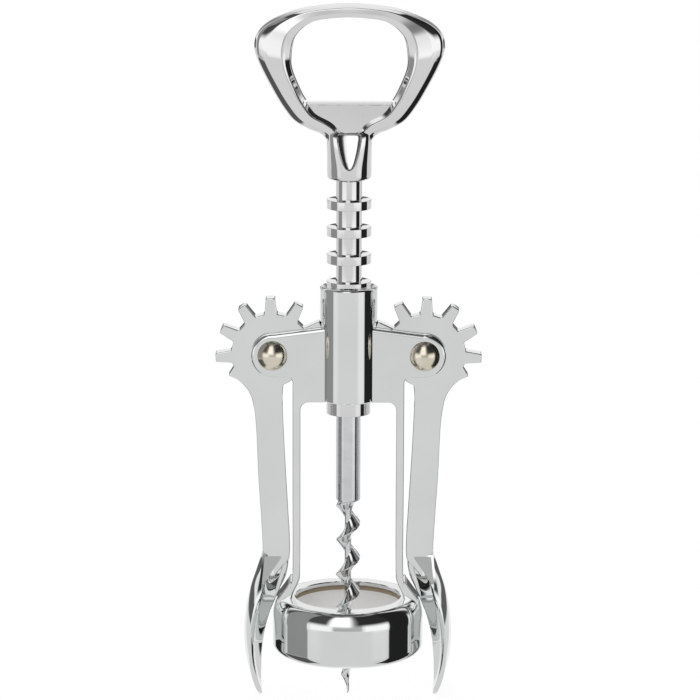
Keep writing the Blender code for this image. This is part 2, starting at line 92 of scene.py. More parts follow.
# Rack and worm
RING_PITCH = 6.82 * MM
PITCH_RADIUS = RING_PITCH / math.radians(TOOTH_PITCH_DEG)
RING_COUNT = 8
RINGS_ABOVE_PIVOT = 5.5
TOP_RING_Z = PIVOT_Z + PITCH_RADIUS * math.radians(FIRST_TOOTH_DEG) + RINGS_ABOVE_PIVOT * RING_PITCH
RING_THICKNESS = 2.27 * MM
RING_RADIUS = 5.55 * MM
NECK_RADIUS = 3.23 * MM
RACK_TOP = 108.4 * MM
RACK_BOTTOM = 49.5 * MM
ROD_RADIUS = 2.0 * MM
ROD_HOLE_RADIUS = 2.2 * MM
ROD_TOP = 119.0 * MM
SHANK_RADIUS = 3.1 * MM
SHANK_BOTTOM = 26.8 * MM
WORM_TIP = -23.4 * MM
FLIGHT_RADIUS = 3.05 * MM
WORM_CORE_RADIUS = 0.85 * MM
WORM_RUNOUT = 5.5 * MM
WORM_LEAD = 8.88 * MM
WORM_LEFT_PEAK_Z = 7.8 * MM
WORM_TAPER = 9.0 * MM

# Handle
COLLAR_BOTTOM = 108.6 * MM
LIP_Z = 127.7 * MM
LIP_HALF = 10.9 * MM
LIP_PROUD = 0.25 * MM
NOTCH_RADIUS = 0.55 * MM
WEB_HALF_THICKNESS = 1.5 * MM

# Rivets
RIVET_RADIUS = 1.5 * MM
RIVET_HOLE_RADIUS = 1.66 * MM
RIVET_HEAD_RADIUS = 3.7 * MM
RIVET_HEAD_HEIGHT = 1.9 * MM
RIVET_TAIL_RADIUS = 2.7 * MM
RIVET_TAIL_HEIGHT = 1.0 * MM
RIVET_FACE = 4.3 * MM

ROUND_STEPS = 128


# ---------------------------------------------------------------- mesh helpers

def add_object(name, bm):
    """Turn a bmesh into an object with outward faces."""
    bmesh.ops.remove_doubles(bm, verts=bm.verts, dist=0.001 * MM)
    bmesh.ops.recalc_face_normals(bm, faces=bm.faces)
    mesh = bpy.data.meshes.new(name)
    bm.to_mesh(mesh)
    bm.free()
    item = bpy.data.objects.new(name, mesh)
    bpy.context.scene.collection.objects.link(item)
    return item


def bake(item):
    """Apply an object's modifiers by taking its evaluated mesh."""
    depsgraph = bpy.context.evaluated_depsgraph_get()
    mesh = bpy.data.meshes.new_from_object(item.evaluated_get(depsgraph))
    item.modifiers.clear()
    item.data = mesh


def combine(target, other, operation):
    modifier = target.modifiers.new(operation.lower(), "BOOLEAN")
    modifier.operation = operation
    modifier.solver = "EXACT"
    modifier.object = other
    bake(target)
    bpy.data.objects.remove(other, do_unlink=True)


def round_edges(item, width, segments=3, angle_deg=40):
    modifier = item.modifiers.new("round", "BEVEL")
    modifier.width = width
    modifier.segments = segments
    modifier.limit_method = "ANGLE"
    modifier.use_clamp_overlap = False
    modifier.angle_limit = math.radians(angle_deg)
    bake(item)


def round_rims(item, width, share):
    """Round the edges between the flat faces and the sides, by width times share(middle of edge)."""
    mesh = item.data
    weights = mesh.attributes.new("bevel_weight_edge", "FLOAT", "EDGE")
    for edge in mesh.edges:
        low, high = (mesh.vertices[i].co for i in edge.vertices)
        if abs(low.y - high.y) < 0.01 * MM:
            weights.data[edge.index].value = share((low + high) / 2)
    modifier = item.modifiers.new("round", "BEVEL")
    modifier.width = width
    modifier.segments = 4
    modifier.limit_method = "WEIGHT"
    modifier.use_clamp_overlap = False
    bake(item)


def shade(item, angle_deg=32):
    """Weld what the Booleans left and shade smooth, but for the edges sharper than the angle."""
    bm = bmesh.new()
    bm.from_mesh(item.data)
    bmesh.ops.remove_doubles(bm, verts=bm.verts, dist=0.002 * MM)
    bmesh.ops.dissolve_degenerate(bm, edges=bm.edges, dist=0.002 * MM)
    bm.to_mesh(item.data)
    bm.free()
    item.data.shade_smooth()
    item.data.set_sharp_from_angle(angle=math.radians(angle_deg))
    weighted = item.modifiers.new("even_shading", "WEIGHTED_NORMAL")
    weighted.keep_sharp = True
    weighted.weight = 80


def dress(item, material, body, node):
    """Give a finished piece its material and its body, and hide the CAD node it stands for."""
    item.data.materials.clear()
    item.data.materials.append(material)
    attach(item, body)
    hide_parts(node)
    return item


# ---------------------------------------------------------------- shape helpers

def arc(centre, radius, start_deg, end_deg, steps):
    points = []
    for i in range(steps + 1):
        angle = math.radians(start_deg + (end_deg - start_deg) * i / steps)
        points.append((centre[0] + radius * math.cos(angle), centre[1] + radius * math.sin(angle)))
    return points


def catmull(rows, steps):
    """Smooth rows of values between the given ones, with any number of values in a row."""
    count = len(rows)
    out = []
    for i in range(count - 1):
        a, b, c, d = (rows[min(max(i + k - 1, 0), count - 1)] for k in range(4))
        for step in range(steps):
            t = step / steps
            out.append([0.5 * (2 * q + (r - p) * t + (2 * p - 5 * q + 4 * r - s) * t * t
                               + (3 * q - p - 3 * r + s) * t ** 3) for p, q, r, s in zip(a, b, c, d)])
    out.append(list(rows[-1]))
    return out


def millimetres(rows, count=None):
    """Rows in metres; with a count, only that many leading values of a row are lengths."""
    return [[value * MM for value in row[:count]] + list(row[len(row[:count]):]) for row in rows]


def signed_power(value, power):
    return math.copysign(abs(value) ** power, value)


def rounded(corners, steps=6):
    """An outline whose corners (x, z, radius) are rounded by tangent arcs."""
    outline = []
    count = len(corners)
    for i, (x, z, radius) in enumerate(corners):
        here = Vector((x, z))
        if radius == 0:
            outline.append((x, z))
            continue
        to_last = (Vector(corners[i - 1][:2]) - here).normalized()
        to_next = (Vector(corners[(i + 1) % count][:2]) - here).normalized()
        half = to_last.angle(to_next) / 2
        centre = here + (to_last + to_next).normalized() * radius / math.sin(half)
        start = here + to_last * radius / math.tan(half) - centre
        end = here + to_next * radius / math.tan(half) - centre
        for step in range(steps + 1):
            direction = start.lerp(end, step / steps).normalized()
            outline.append(tuple(centre + direction * radius))
    return outline


def prism(name, outline, y_low, y_high):
    bm = bmesh.new()
    face = bm.faces.new([bm.verts.new((x, y_low, z)) for x, z in outline])
    extruded = bmesh.ops.extrude_face_region(bm, geom=[face])
    moved = [v for v in extruded["geom"] if isinstance(v, bmesh.types.BMVert)]
    bmesh.ops.translate(bm, verts=moved, vec=(0, y_high - y_low, 0))
    return add_object(name, bm)


def turned(name, profile, steps=ROUND_STEPS):
    """A turned solid about Z from (radius, z) points that end on the axis or form a ring."""
    bm = bmesh.new()
    verts = [bm.verts.new((r, 0, z)) for r, z in profile]
    edges = [bm.edges.new(pair) for pair in zip(verts, verts[1:])]
    starts_on_axis = profile[0][0] < 0.001 * MM
    if not starts_on_axis:
        edges.append(bm.edges.new((verts[-1], verts[0])))
    bmesh.ops.spin(bm, geom=edges, cent=(0, 0, 0), axis=(0, 0, 1), angle=math.tau, steps=steps,
                   use_merge=True)
    return add_object(name, bm)


def bar_y(name, x, z, radius, y_low, y_high, steps=64):
    return prism(name, arc((x, z), radius, 0, 360 * (steps - 1) / steps, steps - 1), y_low, y_high)


def bar_z(name, radius, z_low, z_high):
    return turned(name, [(0, z_high), (radius, z_high), (radius, z_low), (0, z_low)])


def loft(name, sections, closed=False):
    """A solid through rings of points that all have the same count."""
    bm = bmesh.new()
    rings = [[bm.verts.new(point) for point in section] for section in sections]
    pairs = list(zip(rings, rings[1:]))
    if closed:
        pairs.append((rings[-1], rings[0]))
    else:
        bm.faces.new(rings[0])
        bm.faces.new(rings[-1])
    for low, high in pairs:
        for i in range(len(low)):
            bm.faces.new((low[i - 1], low[i], high[i], high[i - 1]))
    return add_object(name, bm)


def flipped(outline):
    return [(-x, z) for x, z in reversed(outline)]


# ---------------------------------------------------------------- materials

class Nodes:
    """What material and world node trees share."""

    def link(self, source, target):
        self.tree.links.new(source, target)

    def math(self, operation, first, second):
        node = self.tree.nodes.new("ShaderNodeMath")
        node.operation = operation
        for source, socket in zip((first, second), node.inputs):
            if isinstance(source, (int, float)):
                socket.default_value = source
            else:
                self.link(source, socket)
        return node.outputs["Value"]


class Finish(Nodes):
    """A Principled material whose colour, roughness and bump are driven by procedural textures."""

    def __init__(self, name, metallic):
        self.material = bpy.data.materials.new(name)
        self.material.use_nodes = True
        self.tree = self.material.node_tree
        self.shader = self.tree.nodes["Principled BSDF"]
        self.shader.inputs["Metallic"].default_value = metallic
        self.place = self.tree.nodes.new("ShaderNodeTexCoord").outputs["Object"]

    def noise(self, scale, detail=4, roughness=0.55, stretch=(1, 1, 1)):
        mapping = self.tree.nodes.new("ShaderNodeMapping")
        mapping.inputs["Scale"].default_value = stretch
        self.link(self.place, mapping.inputs["Vector"])
        texture = self.tree.nodes.new("ShaderNodeTexNoise")
        texture.inputs["Scale"].default_value = scale
        texture.inputs["Detail"].default_value = detail
        texture.inputs["Roughness"].default_value = roughness
        self.link(mapping.outputs["Vector"], texture.inputs["Vector"])
        return texture.outputs["Fac"]

    def ramp(self, source, stops):
        node = self.tree.nodes.new("ShaderNodeValToRGB")
        ramp = node.color_ramp
        while len(ramp.elements) < len(stops):
            ramp.elements.new(0.5)
        for element, (position, colour) in zip(ramp.elements, stops):
            element.position = position
            element.color = (*colour, 1.0)
        self.link(source, node.inputs["Fac"])
        return node.outputs["Color"]

    def spread(self, source, low, high, from_low=0.3, from_high=0.7):
        node = self.tree.nodes.new("ShaderNodeMapRange")
        node.inputs["From Min"].default_value = from_low
        node.inputs["From Max"].default_value = from_high
        node.inputs["To Min"].default_value = low
        node.inputs["To Max"].default_value = high
        self.link(source, node.inputs["Value"])
        return node.outputs["Result"]

    def below_and_within(self, height, radius):
        """1 below a height and within a radius of the Z axis, 0 elsewhere."""
        split = self.tree.nodes.new("ShaderNodeSeparateXYZ")
        self.link(self.place, split.inputs["Vector"])
        x, y, z = split.outputs
        square = self.math("ADD", self.math("MULTIPLY", x, x), self.math("MULTIPLY", y, y))
        within = self.math("LESS_THAN", square, (radius + 0.15 * MM) ** 2)
        return self.math("MULTIPLY", within, self.math("LESS_THAN", z, height + 0.05 * MM))

    def bump(self, height, strength, distance, below=None):
        node = self.tree.nodes.new("ShaderNodeBump")
        node.inputs["Strength"].default_value = strength
        node.inputs["Distance"].default_value = distance
        self.link(height, node.inputs["Height"])
        if below is not None:
            self.link(below, node.inputs["Normal"])
        return node.outputs["Normal"]

    def set(self, socket, source):
        self.link(source, self.shader.inputs[socket])


# The unpolished inside of the bell
DULL_COLOUR = (0.97, 0.97, 0.965)
DULL_PALENESS = 1.2
DULL_ROUGHNESS = 0.4
DULL_SHARE = 0.72


def scratches(finish, stretch, scale):
    """Sparse hairline marks: the thin crests of a stretched noise."""
    fibre = finish.noise(scale, 2, 0.5, stretch)
    return finish.spread(fibre, 0.0, 1.0, 0.66, 0.72)


def chrome(name, tone, roughness, waviness, grain=(1, 1, 1), dull_bell=False):
    """Bright plate: cast waviness, clouded tone, hairlines, haze and, if asked, a dull bell inside."""
    finish = Finish(name, 1.0)
    cloud = finish.noise(60, 3)
    dark = tuple(c * 0.965 for c in tone)
    light = tuple(min(1.0, c * 1.02) for c in tone)
    haze = finish.spread(finish.noise(240, 5), roughness * 0.7, roughness * 1.5)
    hairs = scratches(finish, grain, 900)
    haze = finish.math("ADD", haze, finish.math("MULTIPLY", hairs, 0.05))
    if dull_bell:
        inside = finish.below_and_within(FLANGE_UNDERSIDE, BELL_BORE_RADIUS)
        cloud = finish.math("ADD", cloud, finish.math("MULTIPLY", inside, DULL_PALENESS))
        haze = finish.math("ADD", haze, finish.math("MULTIPLY", inside, DULL_ROUGHNESS))
        polished = finish.math("SUBTRACT", 1.0, finish.math("MULTIPLY", inside, DULL_SHARE))
        finish.set("Metallic", polished)
    finish.set("Base Color", finish.ramp(cloud, [(0.3, dark), (0.7, light), (1.0, DULL_COLOUR)]))
    finish.set("Roughness", haze)
    wave = finish.bump(finish.noise(110, 2, 0.4), waviness, 0.02 * MM)
    peel = finish.bump(finish.noise(900, 2, 0.5), waviness * 0.6, 0.0025 * MM, wave)
    finish.set("Normal", finish.bump(hairs, 0.25, 0.001 * MM, peel))
    return finish.material


def satin_nickel(name):
    """Warm satin rivet: fine tumbled grain and small dents."""
    finish = Finish(name, 1.0)
    cloud = finish.noise(300, 3)
    finish.set("Base Color", finish.ramp(cloud, [(0.3, (0.76, 0.70, 0.58)), (0.7, (0.85, 0.79, 0.67))]))
    finish.set("Roughness", finish.spread(finish.noise(1500, 5), 0.15, 0.24))
    dents = finish.bump(finish.noise(650, 2, 0.5), 0.2, 0.02 * MM)
    finish.set("Normal", finish.bump(finish.noise(5200, 3), 0.25, 0.003 * MM, dents))
    return finish.material


def worm_steel(name):
    """Plated steel with a drawn, slightly rough surface and marks along the flight."""
    finish = Finish(name, 1.0)
    cloud = finish.noise(260, 4)
    finish.set("Base Color", finish.ramp(cloud, [(0.25, (0.66, 0.67, 0.68)), (0.75, (0.80, 0.81, 0.81))]))
    finish.set("Roughness", finish.spread(finish.noise(900, 5), 0.03, 0.09))
    drawn = finish.bump(finish.noise(700, 3, 0.6, (1, 1, 0.25)), 0.1, 0.01 * MM)
    finish.set("Normal", finish.bump(finish.noise(3000, 2), 0.3, 0.002 * MM, drawn))
    return finish.material


def nylon(name):
    """Moulded tan plastic with a fine spark texture."""
    finish = Finish(name, 0.0)
    cloud = finish.noise(180, 4)
    finish.set("Base Color", finish.ramp(cloud, [(0.3, (0.30, 0.235, 0.155)), (0.7, (0.36, 0.29, 0.20))]))
    finish.set("Roughness", finish.spread(finish.noise(800, 4), 0.42, 0.58))
    finish.set("Normal", finish.bump(finish.noise(2600, 3), 0.3, 0.01 * MM))
    return finish.material


# ---------------------------------------------------------------- frame casting

def bell_profile():
    shoulder = [(BELL_RADIUS + (x - 1) * BELL_SHOULDER_WIDTH, BELL_TOP + (z - 1) * BELL_SHOULDER_HEIGHT)
                for x, z in arc((0, 0), 1, 90, 0, 24)]
    foot_round = arc((BELL_RADIUS - BELL_FOOT_ROUND, BELL_BOTTOM + BELL_FOOT_ROUND), BELL_FOOT_ROUND,
                     0, -90, 16)
    edge = 0.2 * MM
    inside = [(BELL_BORE_RADIUS + edge, BELL_BOTTOM), (BELL_BORE_RADIUS, BELL_BOTTOM + edge),
              (BELL_BORE_RADIUS, FLANGE_UNDERSIDE), (BELL_MOUTH_RADIUS + edge, FLANGE_UNDERSIDE),
              (BELL_MOUTH_RADIUS, FLANGE_UNDERSIDE + edge), (BELL_MOUTH_RADIUS, BELL_TOP - edge),
              (BELL_MOUTH_RADIUS + edge, BELL_TOP)]
    return shoulder + foot_round + inside


# How the left leg spreads at its foot, down its outer side and up its inner side, in millimetres
LEG_OUTER_FLARE = [(-13.9, 30), (-13.9, 9.0), (-14.6, 6.6), (-16.4, 3.9), (-17.9, 1.9)]
LEG_INNER_FLARE = [(-14.1, 2.2), (-13.6, 4.0), (-12.4, 6.6), (-12.0, 9.0), (-11.9, 20)]


def side_outline(side):
    """Plate, ear, leg and foot on one side as a single outline, -1 for the left."""
    ear = arc((-PIVOT_X, PIVOT_Z), EAR_RADIUS, 85, 270, 40)
    slot_round = 1.3 * MM
    web_round = 1.9 * MM
    outline = [(0, PLATE_BOTTOM), (0, PLATE_TOP_AT_BARREL + 0.9 * MM), *ear]
    outline += arc((-LEG_OUTER_X - slot_round, SLOT_TOP - slot_round), slot_round, 90, 0, 10)
    outline += catmull(millimetres(LEG_OUTER_FLARE), 8)
    outline += [(-LEG_FOOT_OUTER_X, 0.3 * MM), (-16.3 * MM, 0.3 * MM), (-16.3 * MM, 1.6 * MM),
                (-LEG_FOOT_INNER_X, 1.6 * MM)]
    outline += catmull(millimetres(LEG_INNER_FLARE), 8)
    outline += arc((-LEG_INNER_X + web_round, PLATE_BOTTOM - web_round), web_round, 180, 90, 10)
    return [tuple(p) for p in outline] if side < 0 else flipped([tuple(p) for p in outline])


def rim_share(middle):
    """Full rounding at the top of the ears and plates, fading to less below them."""
    least = CAST_EDGE / EAR_EDGE
    return least + (1 - least) * min(max((middle.z - SLOT_TOP) / (4 * MM), 0), 1)


def make_frame(material):
    """One casting: barrel, plates, legs and bell."""
    casting = turned("frame_casting", bell_profile(), 160)
    for side in (-1, 1):
        wing = prism("wing", side_outline(side), -FRAME_HALF_DEPTH, FRAME_HALF_DEPTH)
        round_rims(wing, EAR_EDGE, rim_share)
        combine(casting, wing, "UNION")
    chamfer = 0.45 * MM
    edge = 0.12 * MM
    barrel = turned("barrel", [(0, BARREL_TOP), (BARREL_RADIUS - chamfer - edge, BARREL_TOP),
                               (BARREL_RADIUS - chamfer, BARREL_TOP - 0.3 * edge),
                               (BARREL_RADIUS - 0.3 * edge, BARREL_TOP - chamfer),
                               (BARREL_RADIUS, BARREL_TOP - chamfer - edge),
                               (BARREL_RADIUS, BARREL_BOTTOM + 2 * edge),
                               (BARREL_RADIUS - 2 * edge, BARREL_BOTTOM), (0, BARREL_BOTTOM)])
    combine(casting, barrel, "UNION")
    bore = turned("bore", [(0, BARREL_TOP + 2 * MM), (BARREL_BORE_RADIUS + 2.7 * MM, BARREL_TOP + 2 * MM),
                           (BARREL_BORE_RADIUS, BARREL_TOP - 0.7 * MM),
                           (BARREL_BORE_RADIUS, BARREL_BOTTOM - 2 * MM), (0, BARREL_BOTTOM - 2 * MM)])
    combine(casting, bore, "DIFFERENCE")
    for side in (-1, 1):
        sweep = bar_y("sweep", side * PIVOT_X, PIVOT_Z, SWEEP_RADIUS, -PLATE_INNER_FACE, PLATE_INNER_FACE,
                      96)
        combine(casting, sweep, "DIFFERENCE")
        hole = bar_y("hole", side * PIVOT_X, PIVOT_Z, RIVET_HOLE_RADIUS, -8 * MM, 8 * MM)
        combine(casting, hole, "DIFFERENCE")
    shade(casting)
    return dress(casting, material, "frame", "frame_body")


def make_seat_ring(material):
    edge = 0.15 * MM
    profile = [(SEAT_RING_INNER + edge, SEAT_RING_TOP), (SEAT_RING_OUTER, SEAT_RING_TOP),
               (SEAT_RING_OUTER, 0), (SEAT_RING_INNER + edge, 0),
               (SEAT_RING_INNER, edge), (SEAT_RING_INNER, SEAT_RING_TOP - edge)]
    ring = turned("bottle_seat_ring", profile)
    shade(ring)
    return dress(ring, material, "frame", "seat_ring")


# ---------------------------------------------------------------- levers

def tooth(angle_deg):
    """One tooth with a rounded tip and root fillets, about the pivot, anticlockwise."""
    angle = math.radians(angle_deg)
    along = Vector((math.cos(angle), math.sin(angle)))
    across = Vector((-math.sin(angle), math.cos(angle)))
    tip_round = 0.5 * MM
    root_round = 0.5 * MM
    half = [(ROOT_RADIUS - 0.1 * MM + root_round * (1 - math.cos(math.radians(a))),
             TOOTH_ROOT_HALF + root_round * (1 - math.sin(math.radians(a)))) for a in (0, 30, 60, 90)]
    half += [(TIP_RADIUS - tip_round + tip_round * math.sin(math.radians(a)),
              TOOTH_TIP_HALF - tip_round + tip_round * math.cos(math.radians(a))) for a in (0, 30, 60, 90)]
    rising = [along * r - across * w for r, w in half]
    falling = [along * r + across * w for r, w in reversed(half)]
    return [tuple(p) for p in rising + falling]


def blade_outline():
    """Gear sector and flat arm of the left lever about its pivot, down to the diagonal rib."""
    outline = []
    for i in range(TOOTH_COUNT):
        outline += tooth(FIRST_TOOTH_DEG + i * TOOTH_PITCH_DEG)
    outline += millimetres([(-9.6, -3.3)])
    outline += catmull(millimetres([(-11.0, -5.5), (-8.2, -6.9), (-5.9, -9.6), (-4.8, -12.9), (-4.1, -19.0),
                                    (-3.6, -31.0), (-2.9, -42.0), (-2.5, -51.0), (-2.8, -58.0)]), 5)
    outline += millimetres([(-3.6, -60.4), (-2.9, -61.6), (-2.0, -60.7)])
    outline += catmull(millimetres([(-1.2, -59.4), (1.4, -55.8), (3.6, -53.3)]), 3)
    outline += millimetres([(4.2, -52.2)])
    outline += catmull(millimetres([(4.35, -50.5), (4.25, -46.0), (3.9, -40.0), (3.0, -24.0), (2.5, -12.0),
                                    (2.7, -7.8)]), 6)
    outline += arc((0, 0), 8.2 * MM, -66, -16, 8)
    return outline


# Height, back, rim, keel and full width down the paddle, in millimetres
PADDLE = [(17.5, -21.4, -21.35, -18.5, 3.0), (14.0, -21.6, -21.45, -15.6, 4.0),
          (9.0, -23.1, -21.9, -15.2, 7.6), (4.0, -24.75, -22.8, -17.2, 12.4),
          (-1.5, -25.8, -24.0, -19.5, 15.4), (-7.0, -26.2, -24.7, -21.0, 15.9),
          (-12.5, -25.8, -24.7, -21.65, 14.6), (-17.5, -24.6, -24.1, -21.85, 11.2),
          (-21.0, -23.4, -23.2, -21.8, 7.4), (-22.8, -22.6, -22.5, -21.6, 4.2),
          (-23.3, -22.3, -22.2, -21.7, 2.4)]
POCKET_FLOOR = 1.0 * MM
POCKET_LEAN_FROM = 7.0 * MM
POCKET_LEAN = 0.11
SHELL_THICKNESS = 1.4 * MM
KEEL_HALF = 0.75 * MM
RIM_SHARE = 0.15
COVE_POWER = 1.5

# Height, inner edge, width and half depth of the bead along the paddle's inner edge
BEAD_POWER = 0.6
BEAD = [(13.6, -14.65, 2.0, 1.97), (9.0, -15.2, 1.7, 1.9), (5.0, -16.75, 1.4, 1.6),
        (2.0, -18.1, 1.1, 1.1), (0, -18.95, 0.7, 0.8)]


def paddle_section(z, back, rim, keel, width):
    """Convex back with thin rims, and inside them a concave cove that rises to the keel."""
    steps = 22
    half = width / 2
    keel_half = min(KEEL_HALF, 0.5 * half)
    outer, inner = [], []
    for i in range(-steps, steps + 1):
        u = i / steps
        skin = back + (rim - back) * u * u
        outer.append((skin, u * half, z))
        if abs(i) < steps:
            share = min((1 - abs(u)) * half / (half - keel_half), 1.0)
            wall = min(SHELL_THICKNESS, keel - skin) * (1 - (1 - min(share / RIM_SHARE, 1)) ** 2)
            rise = max(keel - skin - SHELL_THICKNESS, 0) * share ** COVE_POWER
            inner.append((skin + wall + rise, u * half, z))
    return outer + inner[::-1]


def bead_section(z, edge, width, depth):
    """Rounded bar whose right side is the lever's inner edge."""
    points = []
    steps = 24
    for i in range(steps):
        angle = math.tau * i / steps
        c, s = math.cos(angle), math.sin(angle)
        x = edge - width / 2 + width / 2 * signed_power(c, BEAD_POWER)
        points.append((x, depth * signed_power(s, BEAD_POWER), z))
    return points


def lever_mesh(name):
    """The left lever: bevelled blade, paddle, pocket above the rib and the hole for the rivet."""
    blade = [(x - PIVOT_X, z + PIVOT_Z) for x, z in blade_outline()]
    lever = prism(name, blade, -LEVER_HALF_THICKNESS, LEVER_HALF_THICKNESS)
    round_edges(lever, TOOTH_EDGE, 3, 60)
    paddle = loft("paddle", [paddle_section(*row) for row in catmull(millimetres(PADDLE), 6)])
    combine(lever, paddle, "UNION")
    bead = loft("bead", [bead_section(*row) for row in catmull(millimetres(BEAD), 5)])
    combine(lever, bead, "UNION")
    corners = millimetres([(-20.9, 12.9, 0.3), (-21.75, 4.9, 0.2), (-16.4, 12.9, 0.3)])
    for side in (-1, 1):
        low, high = sorted((side * POCKET_FLOOR, side * 12 * MM))
        pocket = prism("pocket", rounded(corners, 4), low, high)
        shear_floor(pocket, side)
        combine(lever, pocket, "DIFFERENCE")
    hole = bar_y("hole", -PIVOT_X, PIVOT_Z, RIVET_HOLE_RADIUS, -5 * MM, 5 * MM)
    combine(lever, hole, "DIFFERENCE")
    return lever


def shear_floor(pocket, side):
    """Lean the pocket's floor so that it faces slightly up."""
    for vertex in pocket.data.vertices:
        if abs(vertex.co.y) < 2 * MM:
            vertex.co.y -= side * (vertex.co.z - POCKET_LEAN_FROM) * POCKET_LEAN


def make_lever(side, material):
    name = "left" if side < 0 else "right"
    lever = lever_mesh("lever_wing_" + name)
    if side > 0:
        bm = bmesh.new()
        bm.from_mesh(lever.data)
        bmesh.ops.scale(bm, verts=bm.verts, vec=(-1, 1, 1))
        bmesh.ops.reverse_faces(bm, faces=bm.faces)
        bm.to_mesh(lever.data)
        bm.free()
    shade(lever)
    return dress(lever, material, name + "_lever", "lever_" + name)


def make_rivet(side, material):
    name = "left" if side < 0 else "right"
    sphere = (RIVET_HEAD_RADIUS ** 2 + RIVET_HEAD_HEIGHT ** 2) / (2 * RIVET_HEAD_HEIGHT)
    edge_deg = math.degrees(math.asin(RIVET_HEAD_RADIUS / sphere))
    dome = arc((0, RIVET_FACE + RIVET_HEAD_HEIGHT - sphere), sphere, 90, 90 - edge_deg, 20)
    tail_round = 0.6 * MM
    tail = arc((RIVET_TAIL_RADIUS - tail_round, -RIVET_FACE - RIVET_TAIL_HEIGHT + tail_round), tail_round,
               0, -90, 6)
    profile = dome + [(RIVET_RADIUS, RIVET_FACE), (RIVET_RADIUS, -RIVET_FACE),
                      (RIVET_TAIL_RADIUS, -RIVET_FACE)]
    profile += tail + [(1.1 * MM, -RIVET_FACE - RIVET_TAIL_HEIGHT), (0.5 * MM, -RIVET_FACE - 0.5 * MM),
                       (0, -RIVET_FACE - 0.4 * MM)]
    rivet = turned("round_head_rivet_" + name, profile, 64)
    facing_front = Matrix.Rotation(math.pi / 2, 4, "X")
    rivet.data.transform(Matrix.Translation((side * PIVOT_X, 0, PIVOT_Z)) @ facing_front)
    shade(rivet)
    return dress(rivet, material, "frame", "rivet_" + name)


# ---------------------------------------------------------------- rack and worm

def make_rack(material):
    """Turned sleeve of rings, each with a small chamfer and a fillet at the neck."""
    chamfer = 0.14 * MM
    fillet = 0.18 * MM
    outside = [(NECK_RADIUS - 0.2 * MM, RACK_TOP), (NECK_RADIUS, RACK_TOP - 0.2 * MM)]
    for i in range(RING_COUNT):
        centre = TOP_RING_Z - i * RING_PITCH
        top = centre + RING_THICKNESS / 2
        bottom = centre - RING_THICKNESS / 2 if i < RING_COUNT - 1 else RACK_BOTTOM
        outside += [(NECK_RADIUS, top + fillet), (NECK_RADIUS + 0.3 * fillet, top + 0.3 * fillet),
                    (NECK_RADIUS + fillet, top)]
        outside += arc((RING_RADIUS - chamfer, top - chamfer), chamfer, 90, 0, 3)
        outside += arc((RING_RADIUS - chamfer, bottom + chamfer), chamfer, 0, -90, 3)
        if i < RING_COUNT - 1:
            outside += [(NECK_RADIUS + fillet, bottom), (NECK_RADIUS + 0.3 * fillet, bottom - 0.3 * fillet),
                        (NECK_RADIUS, bottom - fillet)]
    inside = [(ROD_HOLE_RADIUS + 0.2 * MM, RACK_BOTTOM), (ROD_HOLE_RADIUS, RACK_BOTTOM + 0.2 * MM),
              (ROD_HOLE_RADIUS, RACK_TOP)]
    rack = turned("ring_rack", outside + inside)
    shade(rack, 38)
    return dress(rack, material, "rack", "rack_sleeve")


def worm_section(z, scale, core):
    """Teardrop about the axis: round behind, with concave flanks that rise to a narrow ridge."""
    peak = math.pi + math.tau * (z - WORM_LEFT_PEAK_Z) / WORM_LEAD
    ridge_half = math.radians(4)
    flank = math.radians(116)
    points = []
    steps = 64
    for i in range(steps):
        share = 2 * i / steps - 1
        offset = math.pi * signed_power(share, 1.5)
        fall = min(max(abs(offset) - ridge_half, 0) / flank, 1.0)
        radius = scale * (core + (FLIGHT_RADIUS - core) * (1 - fall) ** 1.5)
        points.append((radius * math.cos(peak + offset), radius * math.sin(peak + offset), z))
    return points


def make_worm(material):
    """Rod and shank turned in one, and below them the open auger down to its ground tip."""
    shoulder = RACK_BOTTOM - 0.2 * MM
    profile = [(0, ROD_TOP), (ROD_RADIUS - 0.3 * MM, ROD_TOP), (ROD_RADIUS, ROD_TOP - 0.3 * MM),
               (ROD_RADIUS, shoulder), (SHANK_RADIUS - 0.2 * MM, shoulder),
               (SHANK_RADIUS, shoulder - 0.2 * MM), (SHANK_RADIUS, SHANK_BOTTOM + 0.8 * MM),
               (SHANK_RADIUS - 0.25 * MM, SHANK_BOTTOM + 0.25 * MM),
               (SHANK_RADIUS - 0.9 * MM, SHANK_BOTTOM), (0, SHANK_BOTTOM)]
    worm = turned("worm_screw", profile, 96)
    slices = 420
    start = SHANK_BOTTOM + 0.8 * MM
    sections = []
    for i in range(slices + 1):
        z = start + (WORM_TIP - start) * i / slices
        scale = min(1.0, 0.05 + 0.95 * (z - WORM_TIP) / WORM_TAPER)
        grown = min(max((z - start) / WORM_RUNOUT + 1, 0), 1)
        core = WORM_CORE_RADIUS + (FLIGHT_RADIUS * 0.9 - WORM_CORE_RADIUS) * grown ** 3
        sections.append(worm_section(z, scale, core))
    combine(worm, loft("auger", sections), "UNION")
    shade(worm, 60)
    return dress(worm, material, "spindle", "worm")


# ---------------------------------------------------------------- handle

# Corners of half a section of the loop: across from -1, the outer edge, to 1, the inner one,
# then forward and corner radius in millimetres
CROWN_SECTION = [(-1.0, 0.0, 2.0), (-0.75, 2.5, 0.8), (-0.42, 3.45, 0.4), (0.3, 3.58, 0.3),
                 (0.96, 3.3, 0.3), (1.0, 0.0, 0.3)]
LIMB_SECTION = [(-1.0, 0.0, 2.0), (-0.86, 1.9, 2.0), (-0.4, 3.05, 5.0), (0.55, 4.1, 1.4),
                (0.96, 2.9, 0.6), (1.0, 0.0, 0.5)]
RIM_SECTION = [(-1.0, 0.0, 1.5), (-0.86, 1.9, 1.5), (-0.35, 3.2, 2.0), (0.6, 4.1, 0.5),
               (0.95, 1.4, 0.3), (1.0, 0.0, 0.3)]

